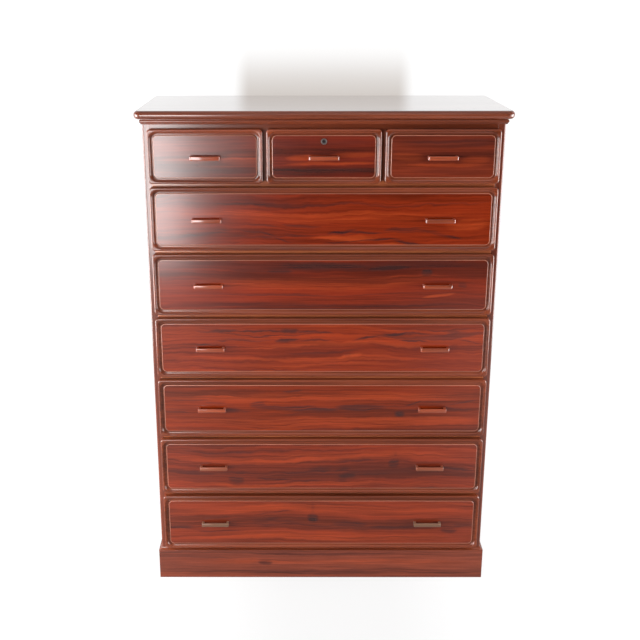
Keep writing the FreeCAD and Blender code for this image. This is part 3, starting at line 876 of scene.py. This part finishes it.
@dataclass
class Cornice(Moulding):
    """The bead and small cove under the top.

    Args:
        height: Height of the whole moulding.
        lip: Reach of its lower edge.
        cove: Width and height of the cove.
        bead: Reach and half the height of the bead.
        steps: Edges to a quarter round.
    """

    height: float = 14.0
    lip: float = 1.0
    cove: Point = (2.4, 4.0)
    bead: Point = (2.6, 4.2)
    steps: int = 6

    def section(self) -> list[Point]:
        """The lip, the cove, the bead and a fillet up to the top.

        Returns:
            The points as reach and height.
        """
        foot = UNDER_TOP - self.height
        neck = self.lip + self.cove[0]
        cove_top = foot + self.cove[1]
        return [(0.0, foot), (self.lip, foot),
                *arc(self.lip, cove_top, self.cove[0], -self.cove[1], 90, 0, self.steps),
                *arc(neck, cove_top + self.bead[1], *self.bead, -90, 90, 2 * self.steps),
                (neck, UNDER_TOP), (0.0, UNDER_TOP)]


@dataclass
class BaseHollow(Moulding):
    """The hollow on top of the plinth.

    Args:
        height: Its height.
        reach: How far it stands out at its foot.
        lip: Height of the straight edge at its foot.
        crest: Width of its upper edge.
        steps: Edges to the hollow.
    """

    height: float = 9.0
    reach: float = 8.0
    lip: float = 1.6
    crest: float = 0.8
    steps: int = 10

    def section(self) -> list[Point]:
        """The lip and the hollow up to the frame.

        Returns:
            The points as reach and height.
        """
        head = PLINTH_TOP + self.height
        return [(0.0, PLINTH_TOP), (self.reach, PLINTH_TOP), (self.reach, PLINTH_TOP + self.lip),
                *arc(self.reach, head, self.crest - self.reach, self.lip - self.height, 90, 0,
                     self.steps),
                (0.0, head)]


@dataclass
class TopBoard:
    """The top: half-round at the front and ends, with rounded corners in plan.

    Args:
        edge: Radius of the half-round edge.
        corner: Radius of the corners in plan.
        margin: Width of the flat rim inside the edge's round.
        skin: Depth below the top face that has the top's finish.
        edge_steps: Steps to a quarter of the edge's round.
        corner_steps: Steps to a corner.
    """

    edge: float = 10.4
    corner: float = 18.0
    margin: float = 1.0
    skin: float = 0.2
    edge_steps: int = 9
    corner_steps: int = 10

    def outline(self, inset: float, z: float) -> Ring:
        """The plan outline at one height.

        Args:
            inset: How far it is drawn in.
            z: The height.

        Returns:
            The points, in metres, from the back left to the back right.
        """
        left, right = extent("top_board", X)
        front = extent("top_board", Y)[0]
        points = [Vector((left + inset, BACK_Y, z))]
        for x, start in ((left + self.corner, 180), (right - self.corner, 270)):
            for i in range(self.corner_steps + 1):
                angle = math.radians(start + 90 * i / self.corner_steps)
                points.append(Vector((x + (self.corner - inset) * math.cos(angle),
                                      front + self.corner + (self.corner - inset) * math.sin(angle), z)))
        points.append(Vector((right - inset, BACK_Y, z)))
        return [point * MM for point in points]

    def build(self) -> None:
        """Lofts the edge from the underside to the top."""
        under, upper = extent("top_board", Z)
        levels = [(self.edge + self.margin, under)]
        for centre, start in ((under + self.edge, -90), (upper - self.edge, 0)):
            for i in range(self.edge_steps + 1):
                angle = math.radians(start + 90 * i / self.edge_steps)
                levels.append((self.edge * (1 - math.cos(angle)),
                               centre + self.edge * math.sin(angle)))
        levels.append((self.edge + self.margin, upper))
        shell = Shell()
        shell.loft([self.outline(inset, z) for inset, z in levels])
        for made in shell.mesh.faces:
            made.material_index = int(min(v.co.z for v in made.verts) > (upper - self.skin) * MM)
        shell.piece("top_board_polished", [NOSING.made(), TOP.made()], "carcass",
                    "top_board")


@dataclass
class SideBoard:
    """A side of the case with its front outer edge rounded.

    Args:
        way: -1 for the left one, 1 for the right one.
        node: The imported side.
        round: Radius of the front outer edge.
        steps: Edges to its round.
    """

    way: int
    node: str
    round: float = 4.5
    steps: int = 6

    def build(self) -> None:
        """Makes the front and the outer face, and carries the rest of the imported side."""
        plan = [(SIDE_INNER, FRAME_Y), (SIDE_OUTER - self.round, FRAME_Y)]
        plan += arc(SIDE_OUTER - self.round, FRAME_Y + self.round, self.round, self.round, -90, 0,
                    self.steps)
        plan += [(SIDE_OUTER, BACK_Y)]
        shell = Shell()
        lower, upper = (shell.ring([Vector((self.way * x, y, z)) * MM for x, y in plan])
                        for z in (PLINTH_TOP, UNDER_TOP))
        for i in range(len(plan) - 1):
            quad = (lower[i], lower[i + 1], upper[i + 1], upper[i])
            shell.face(quad[::self.way])
        skin, front = SIDE_OUTER * MM - HAIR, FRAME_Y * MM + HAIR
        shell.carry(self.node, lambda points: min(abs(p.x) for p in points) < skin
                    and max(p.y for p in points) > front)
        shell.piece(self.node + "_rounded", [SIDE.made()], "carcass", self.node)


@dataclass
class Carcass:
    """The fixed case: sides, rails, partitions, plinth and what they carry.

    Args:
        polished: The wood of each packed board that shows at the front or the ends.
        plain: The wood of each packed board inside or at the back.
        eased: Width of the rounding on the polished boards' edges.
        sawn: Width of the rounding on the plain boards' edges.
    """

    polished: dict[str, Wood] = field(default_factory=lambda: {
        "top_rail": BORDER, "drawer_rails": RAIL_LIT, "divider_board": RAIL_LIT,
        "bottom_board": BORDER, "partition_left": BORDER_UPRIGHT,
        "partition_right": BORDER_UPRIGHT, "plinth_front": PLINTH, "plinth_left": PLINTH,
        "plinth_right": PLINTH})
    plain: dict[str, Wood] = field(default_factory=lambda: {
        "back_panel": BACK, "top_back_rail": INSIDE, "drawer_runners": INSIDE_DEEP,
        "drawer_kickers": INSIDE_DEEP, "plinth_back": INSIDE, "plinth_blocks": INSIDE})
    eased: float = 0.7
    sawn: float = 0.4

    def build(self) -> None:
        """Builds the top, the sides and the mouldings, and dresses the boards."""
        TopBoard().build()
        SideBoard(-1, "side_left").build()
        SideBoard(1, "side_right").build()
        Cornice("cornice_bead", "cornice_moulding").build()
        BaseHollow("base_hollow", "base_moulding").build()
        for boards, width in ((self.polished, self.eased), (self.plain, self.sawn)):
            for node, wood in boards.items():
                dress(node, wood.made(), width)


@dataclass
class DrawerFront:
    """One moulded, lipped drawer front.

    Heights of its section are measured outwards from the frame, and reaches inwards from its edge.

    Args:
        name: The drawer's name without its prefix.
        steps: Edges to a corner and to the cove.
        bead_steps: Edges to the outer bead's round.
        inner_steps: Edges to the bead's inner edge.
        corner: Radius of the front's corners.
        border_corner: Radius that the border's rings would have at the front's edge.
        gap: Height of the lip's back.
        bead: Radius of the outer bead.
        crest: Reach of the bead's flat top.
        seam: Width of the ring where the corners' radius changes.
        inner_round: Radius of the bead's inner edge.
        cove: Width and depth of the cove.
        rise: From the cove's foot up to the field, each point as reach and height.
        highlight_strips: How many of the last strips have the paler wood, a painted highlight round the
            field's edge.
        lock_hole: Radius about the lock's axis that holds the hole's points.
    """

    name: str
    steps: int = 12
    bead_steps: int = 7
    inner_steps: int = 4
    corner: float = 10.0
    border_corner: float = 28.1
    gap: float = 0.5
    bead: float = 3.5
    crest: float = 4.0
    seam: float = 0.1
    inner_round: float = 1.2
    cove: Point = (8.0, 4.4)
    rise: tuple[Point, ...] = ((14.0, 13.9), (14.2, 14.1), (14.9, 15.9), (15.1, 16.5), (15.45, 17.05),
                               (15.9, 17.38), (16.4, 17.5), (17.2, 17.5))
    highlight_strips: int = 3
    lock_hole: float = 8.5

    def profile(self, top: float) -> tuple[list[Point], list[Point]]:
        """The section's points as reach and height.

        Args:
            top: Height of the bead.

        Returns:
            The bead's points and the border's points.
        """
        outer = [(0.0, self.gap), (0.0, top - self.bead)]
        outer += arc(self.bead, top - self.bead, self.bead, self.bead, 180, 90,
                     self.bead_steps)
        outer += [(self.crest - self.seam, top)]
        brink = top - self.inner_round
        inner = [(self.crest, top)]
        inner += arc(self.crest, brink, self.inner_round, self.inner_round, 90, 0, self.inner_steps)
        inner += arc(self.crest + self.inner_round + self.cove[0], brink, *self.cove, 180, 270,
                     self.steps)
        return outer, inner + list(self.rise)

    def build(self) -> None:
        """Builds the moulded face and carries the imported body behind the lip."""
        node = "drawer_%s_front" % self.name
        x0, x1 = extent(node, X)
        z0, z1 = extent(node, Z)
        shell = Shell()
        rings = []
        for points, corner in zip(self.profile(FRAME_Y - extent(node, Y)[0]),
                                  (self.corner, self.border_corner)):
            for t, h in points:
                ring = rounded_ring(x0 + t, x1 - t, z0 + t, z1 - t, FRAME_Y - h, corner - t, self.steps)
                rings.append(shell.ring([point * MM for point in ring]))
        # The last strips take the pale wood, a painted highlight round the field's edge
        for i, (a, b) in enumerate(zip(rings, rings[1:]), 1):
            shell.bridge(a, b, 2 if i >= len(rings) - self.highlight_strips else 0)
        if self.name == "top_centre":
            self.pierced(shell, rings[-1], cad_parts[node].data)
        else:
            shell.face(rings[-1], 1)
        lip = (FRAME_Y - self.gap) * MM
        shell.carry(node, lambda points: max(p.y for p in points) > lip + HAIR
                    or min(p.y for p in points) > lip - HAIR)
        finishes = [BORDER.made(), FIELDS[self.name].made(), EDGE_HIGHLIGHT.made()]
        shell.piece("drawer_%s_face" % self.name, finishes, "drawer_" + self.name, node)

    def pierced(self, shell: Shell, rim: Sequence[Vert], source: bpy.types.Mesh) -> None:
        """Fills the field round the lock's hole.

        Args:
            shell: The front's mesh.
            rim: The ring at the edge of the field.
            source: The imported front, which has the hole.
        """
        face_y, lock_z = rim[0].co.y, Lock.axis * MM
        hole = sorted({(round(v.co.x, 6), round(v.co.z, 6)) for v in source.vertices
                       if abs(v.co.y - face_y) < HAIR
                       and math.hypot(v.co.x, v.co.z - lock_z) < self.lock_hole * MM},
                      key=lambda p: math.atan2(p[1] - lock_z, p[0]))
        inner = shell.ring([Vector((x, face_y, z)) for x, z in hole])
        edges = [shell.mesh.edges.new((a, b)) for a, b in zip(inner, inner[1:] + inner[:1])]
        edges += [shell.mesh.edges.get((a, b)) for a, b in zip(rim, [*rim[1:], rim[0]])]
        filled = bmesh.ops.triangle_fill(shell.mesh, use_beauty=True, edges=edges,
                                         normal=(0.0, -1.0, 0.0))
        for made in filled["geom"]:
            if isinstance(made, bmesh.types.BMFace):
                made.material_index = 1
                if made.normal.y > 0:
                    made.normal_flip()


@dataclass
class BarPull:
    """A bar pull on two posts, rounded at its outer corners and along its edges.

    Args:
        x: Its middle.
        z: Its middle.
        length: Its length.
        reach: How far it stands out.
        height: Its height.
        bar: Depth of the bar.
        post: Width of a post.
        outer: Radius of the outer corners.
        inner: Radius of the inner corners.
        ease: Radius along the edges.
        steps: Edges to an inner corner and to the rounding along the edges.
        outer_steps: Edges to an outer corner.
    """

    x: float
    z: float
    length: float = 80.0
    reach: float = 16.0
    height: float = 10.5
    bar: float = 6.0
    post: float = 7.0
    outer: float = 4.0
    inner: float = 1.2
    ease: float = 1.5
    steps: int = 4
    outer_steps: int = 7

    def outline(self, inset: float, z: float) -> Ring:
        """The outline seen from above.

        Args:
            inset: How far it is drawn in.
            z: The height.

        Returns:
            The points, in metres.
        """
        half = self.length / 2 - inset
        gap = self.length / 2 - self.post + inset
        front = FIELD_Y - self.reach + inset
        back = FIELD_Y - self.reach + self.bar - inset
        r = self.outer - inset
        q = self.inner + inset
        points = [(-half, FIELD_Y), (-half, front + r),
                  *arc(-half + r, front + r, r, r, 180, 270, self.outer_steps), (half - r, front),
                  *arc(half - r, front + r, r, r, 270, 360, self.outer_steps),
                  (half, FIELD_Y), (gap, FIELD_Y), (gap, back + q),
                  *arc(gap - q, back + q, q, q, 0, -90, self.steps), (-gap + q, back),
                  *arc(-gap + q, back + q, q, q, -90, -180, self.steps), (-gap, FIELD_Y)]
        return [Vector((self.x + x, y, z)) * MM for x, y in points]

    def add_to(self, shell: Shell) -> None:
        """Lofts the pull from its underside to its top.

        Args:
            shell: The mesh that takes it.
        """
        levels = []
        for i in range(self.steps + 1):
            angle = math.radians(90 * i / self.steps)
            levels.append((self.ease * (1 - math.sin(angle)), self.ease * (1 - math.cos(angle))))
        rings = [self.outline(inset, self.z - self.height / 2 + rise) for inset, rise in levels]
        rings += [self.outline(inset, self.z + self.height / 2 - rise) for inset, rise in levels[::-1]]
        shell.loft(rings)


@dataclass
class Drawer:
    """A drawer with its front, box and pulls.

    Args:
        name: The drawer's name without its prefix.
        pulls: X of each pull.
        sawn: Width of the rounding on the box's edges.
    """

    name: str
    pulls: tuple[float, ...]
    sawn: float = 0.4

    def build(self) -> None:
        """Builds the front and the pulls, and dresses the box."""
        body = "drawer_" + self.name
        DrawerFront(self.name).build()
        shell = Shell()
        for x in self.pulls:
            BarPull(x, middle(body + "_pulls", Z)).add_to(shell)
        shell.piece(body + "_bars", [PULL.made()], body, body + "_pulls")
        for part, wood in (("_box", INSIDE_DEEP), ("_bottom", INSIDE)):
            dress(body + part, wood.made(), self.sawn)


@dataclass
class Lock:
    """The cylinder lock: case, barrel and bolt.

    Args:
        axis: Height of the barrel's axis.
        eased: Width of the rounding on its edges.
    """

    axis: float = 1320.3
    eased: float = 0.35

    def build(self) -> None:
        """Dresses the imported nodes."""
        for node, metal in (("lock_case", NICKEL), ("lock_barrel", PLUG), ("lock_bolt", NICKEL)):
            dress(node, metal.made(), self.eased)


# Studio


@dataclass
class Softbox:
    """A rectangular lamp that the camera doesn't see.

    Args:
        name: Its name.
        place: Its middle.
        aim: What it faces.
        size: Width and height.
        radiance: Its brightness.
        mirrored: Whether polished surfaces mirror it.
    """

    name: str
    place: Spot
    aim: Spot
    size: Point
    radiance: float
    mirrored: bool = True

    def build(self) -> None:
        """Adds the lamp."""
        data = bpy.data.lights.new(self.name, "AREA")
        data.shape = "RECTANGLE"
        data.size, data.size_y = self.size
        data.energy = self.radiance * math.pi * self.size[0] * self.size[1]
        made = bpy.data.objects.new(self.name, data)
        made.location = self.place
        towards = Vector(self.aim) - Vector(self.place)
        made.rotation_euler = towards.to_track_quat("-Z", "Y").to_euler()
        made.visible_camera = False
        made.visible_glossy = self.mirrored
        bpy.context.scene.collection.objects.link(made)


def shown(graph: Graph, glossy: object) -> Socket:
    """How much of a glow a ray sees: all to the camera, a share to reflections.

    Args:
        graph: The graph of the material or the world.
        glossy: The share that reflections and glass see.

    Returns:
        The share for the ray.
    """
    path = graph.add("LightPath")
    bounced = graph.maths("MAXIMUM", path.outputs["Is Glossy Ray"],
                          path.outputs["Is Transmission Ray"])
    return graph.maths("MAXIMUM", path.outputs["Is Camera Ray"],
                       graph.maths("MULTIPLY", bounced, glossy))


@dataclass
class Screen:
    """A flat, pale stage piece that shows white and keeps the shadows on it.

    Args:
        name: Its name.
        white: Its grey.
        matt: Share of the grey that the lamps light.
        glow: Its glow to the camera.
        one_sided: Whether it is seen through from behind.
    """

    name: str
    white: float
    matt: float
    glow: float
    one_sided: bool

    def corners(self) -> list[Spot]:
        """Its corners, against the clock."""
        raise NotImplementedError

    def light(self, graph: Graph, place: Node, tone: Socket) -> tuple[Socket, object]:
        """The glow's colour and the share of it that reflections see."""
        raise NotImplementedError

    def build(self) -> bpy.types.Object:
        """Builds the material and the plane.

        Returns:
            The object.
        """
        material = bpy.data.materials.new("pale_" + self.name)
        material.use_nodes = True
        graph = Graph(material.node_tree)
        material.node_tree.nodes.remove(material.node_tree.nodes["Principled BSDF"])
        place = graph.add("TexCoord").outputs["Object"]
        cloth = graph.noise(place, 3.0, 0.5, 0.8)
        tone = graph.blend(graph.spread(cloth, 0.3, 0.7), (self.white,) * 3, (0.985 * self.white,) * 3)
        light, glossy = self.light(graph, graph.add("SeparateXYZ", {0: place}), tone)
        lit = graph.add("BsdfDiffuse", {"Color": graph.dim(tone, self.matt)})
        glowing = graph.add("Emission", {"Color": light, "Strength": graph.maths(
            "MULTIPLY", shown(graph, glossy), self.glow)})
        both = graph.add("AddShader", {0: lit.outputs[0], 1: glowing.outputs[0]}).outputs[0]
        if self.one_sided:
            back = graph.add("NewGeometry").outputs["Backfacing"]
            both = graph.add("MixShader", {0: back, 1: both,
                                           2: graph.add("BsdfTransparent").outputs[0]}).outputs[0]
        graph.put(material.node_tree.nodes["Material Output"].inputs["Surface"], both)
        mesh = bpy.data.meshes.new(self.name)
        mesh.from_pydata(self.corners(), [], [(0, 1, 2, 3)])
        mesh.materials.append(material)
        made = bpy.data.objects.new(self.name, mesh)
        bpy.context.scene.collection.objects.link(made)
        return made


@dataclass
class Floor(Screen):
    """The floor, with a painted shade: greyer in a band that runs under the chest, where reflections also
    see less of its glow, a painted darker reflection.

    Args:
        side: How far it reaches to each side.
        front: Its front edge.
        back: Its back edge.
        shade_x: The middle of the painted shade.
        shade_span: Distances from the middle where the painted shade begins to pale and ends.
        shade_tone: The tone of the painted shade.
        mirror: Distances from the middle where the mirrored share begins to grow and ends.
        mirrored: The least and the largest mirrored share.
    """

    name: str = "floor"
    white: float = 0.98
    matt: float = 0.15
    glow: float = 0.90
    one_sided: bool = False
    side: float = 6.0
    front: float = -3.3
    back: float = 6.0
    shade_x: float = 0.05
    shade_span: Point = (0.10, 0.60)
    shade_tone: float = 0.865
    mirror: Point = (0.25, 0.90)
    mirrored: Point = (0.04, 0.42)

    def corners(self) -> list[Spot]:
        """Its corners, against the clock."""
        return [(-self.side, self.front, 0.0), (self.side, self.front, 0.0),
                (self.side, self.back, 0.0), (-self.side, self.back, 0.0)]

    def light(self, graph: Graph, place: Node, tone: Socket) -> tuple[Socket, object]:
        """The glow, greyer in the band of painted shade.

        Args:
            graph: The material's graph.
            place: The node that splits the coordinates.
            tone: The floor's colour.

        Returns:
            The glow's colour and the share of it that reflections see.
        """
        # Painted shade: the glow greys in a band under the chest, and reflections see less of it there, a
        # painted darker reflection
        out = graph.maths("ABSOLUTE", graph.maths("SUBTRACT", place.outputs[X], self.shade_x))
        return (graph.dim(tone, graph.spread(out, *self.shade_span, self.shade_tone, 1.0)),
                graph.spread(out, *self.mirror, *self.mirrored))


@dataclass
class Wall(Screen):
    """The wall behind the chest, with a painted shadow: a grey patch above the top, which the polished top
    mirrors too.

    Args:
        y: Where it stands.
        side: How far it reaches to each side.
        height: Its height.
        patch: Colour of the painted shadow.
        shadow_x: The painted shadow's middle.
        shadow_side: Distances from the middle where the painted shadow ends and is full.
        shadow_top: Heights where the painted shadow ends and is full.
        shadow_fade: Heights between which the painted shadow loses some more of its strength upwards.
        shadow_keep: What it keeps of its strength there.
    """

    name: str = "wall"
    white: float = 0.99
    matt: float = 0.08
    glow: float = 0.98
    one_sided: bool = True
    y: float = 0.30
    side: float = 5.0
    height: float = 3.5
    patch: Colour = (0.60, 0.555, 0.52)
    shadow_x: float = 0.010
    shadow_side: Point = (0.285, 0.225)
    shadow_top: Point = (1.60, 1.36)
    shadow_fade: Point = (1.56, 1.44)
    shadow_keep: float = 0.62

    def corners(self) -> list[Spot]:
        """Its corners, against the clock."""
        return [(-self.side, self.y, 0.0), (self.side, self.y, 0.0),
                (self.side, self.y, self.height), (-self.side, self.y, self.height)]

    def light(self, graph: Graph, place: Node, tone: Socket) -> tuple[Socket, object]:
        """The glow, with the painted shadow.

        Args:
            graph: The material's graph.
            place: The node that splits the coordinates.
            tone: The wall's colour.

        Returns:
            The glow's colour and the share of it that reflections see.
        """
        # Painted shadow: a grey patch that stands in for the chest's shadow on the wall
        out = graph.maths("ABSOLUTE", graph.maths("SUBTRACT", place.outputs[X], self.shadow_x))
        shade = graph.maths("MULTIPLY", graph.spread(out, *self.shadow_side),
                            graph.spread(place.outputs[Z], *self.shadow_top))
        shade = graph.maths("MULTIPLY", shade, graph.spread(place.outputs[Z], *self.shadow_fade, self.shadow_keep, 1.0))
        return graph.blend(shade, tone, self.patch), 1.0


@dataclass
class Studio:
    """Floor, wall, lamps and world.

    Args:
        sky: Strength of the world overhead.
        ground: Strength of the world from the horizon down.
        mirrored: Share of the world's white that reflections see.
        lamps: The lamps.
    """

    sky: float = 0.35
    ground: float = 0.02
    mirrored: float = 0.02
    lamps: list[Softbox] = field(default_factory=lambda: [
        Softbox("softbox_left", (-1.16, -3.5, 0.86), (-1.16, 0.0, 0.86), (0.76, 1.44), 10.8),
        Softbox("softbox_inner", (-0.60, -3.5, 0.79), (-0.60, 0.0, 0.79), (0.46, 0.26), 1.6),
        Softbox("softbox_right", (2.30, -3.2, 0.90), (0.3, 0.0, 0.85), (0.80, 1.40), 1.8),
        Softbox("front_left", (-2.25, -1.40, 0.80), (-0.2, -0.2, 0.80), (1.10, 1.50), 9.5),
        Softbox("front_right", (2.25, -1.40, 0.80), (0.2, -0.2, 0.80), (1.10, 1.50), 4.6),
        Softbox("side_left", (-2.40, -0.50, 0.85), (-0.4, -0.2, 0.80), (1.30, 1.60), 11.5),
        Softbox("side_right", (2.40, -0.50, 0.85), (0.4, -0.2, 0.80), (1.30, 1.60), 11.0),
        Softbox("high_front", (0.2, -2.8, 2.6), (0.0, -0.2, 0.9), (1.80, 0.60), 1.4),
        Softbox("overhead", (0.0, -0.80, 3.0), (0.0, -0.1, 1.2), (2.40, 1.20), 2.2, False),
        Softbox("softbox_rear", (0.0, 3.4, 0.70), (0.0, 0.0, 0.70), (2.0, 1.4), 6.5)])

    def build(self) -> None:
        """Adds the stage, the lamps and the world."""
        floor, wall = Floor().build(), Wall().build()
        wall.visible_diffuse = False
        wall.visible_shadow = False
        for lamp in self.lamps:
            lamp.build()
        world = bpy.data.worlds.new("studio")
        world.use_nodes = True
        graph = Graph(world.node_tree)
        up = graph.add("SeparateXYZ", {0: graph.add("TexCoord").outputs["Generated"]}).outputs[Z]
        soft = graph.spread(up, 0.0, 1.0, self.ground, self.sky)
        background = world.node_tree.nodes["Background"]
        graph.put(background.inputs["Strength"],
                  graph.maths("MAXIMUM", soft, shown(graph, self.mirrored)))
        graph.put(background.inputs["Color"], (0.98, 0.98, 1.0))
        bpy.context.scene.world = world


@dataclass
class Viewpoint:
    """The camera at the photograph's viewing angle.

    Args:
        lens: Focal length in millimetres.
        sensor: Width of the sensor in millimetres.
        place: Where it stands.
        pitch: Degrees that it looks down.
        yaw: Degrees that it looks to the right.
        roll: Degrees that it leans.
        shift: Share of the frame that the view is moved to the right.
    """

    lens: float = 56.306
    sensor: float = 36.0
    place: Spot = (-0.066, -2.84875, 1.689)
    pitch: float = 18.04
    yaw: float = -0.158
    roll: float = -0.06
    shift: float = 0.037

    def build(self) -> None:
        """Adds the camera."""
        pitch, yaw, roll = (math.radians(v) for v in (self.pitch, self.yaw, self.roll))
        ahead = Vector((math.sin(yaw) * math.cos(pitch), math.cos(yaw) * math.cos(pitch),
                        -math.sin(pitch)))
        level = Vector((math.cos(yaw), -math.sin(yaw), 0.0))
        upright = level.cross(ahead)
        right = math.cos(roll) * level + math.sin(roll) * upright
        up = -math.sin(roll) * level + math.cos(roll) * upright
        data = bpy.data.cameras.new("camera")
        data.lens = self.lens
        data.sensor_width = self.sensor
        data.shift_x = self.shift
        made = bpy.data.objects.new("camera", data)
        made.matrix_world = Matrix.Translation(self.place) @ Matrix(
            (right, up, -ahead)).transposed().to_4x4()
        bpy.context.scene.collection.objects.link(made)
        bpy.context.scene.camera = made


def main() -> None:
    """Builds everything in order."""
    logging.basicConfig(level=logging.INFO, format="%(message)s")
    bpy.context.scene.view_settings.view_transform = "Standard"
    Viewpoint().build()
    Studio().build()
    Carcass().build()
    for name, pulls in (("top_left", (-PULL_X,)), ("top_centre", (0.0,)), ("top_right", (PULL_X,))):
        Drawer(name, pulls).build()
    for row in range(1, WIDE_ROWS + 1):
        Drawer("wide_%d" % row, (-PULL_X, PULL_X)).build()
    Lock().build()


if __name__ == "__main__":
    main()
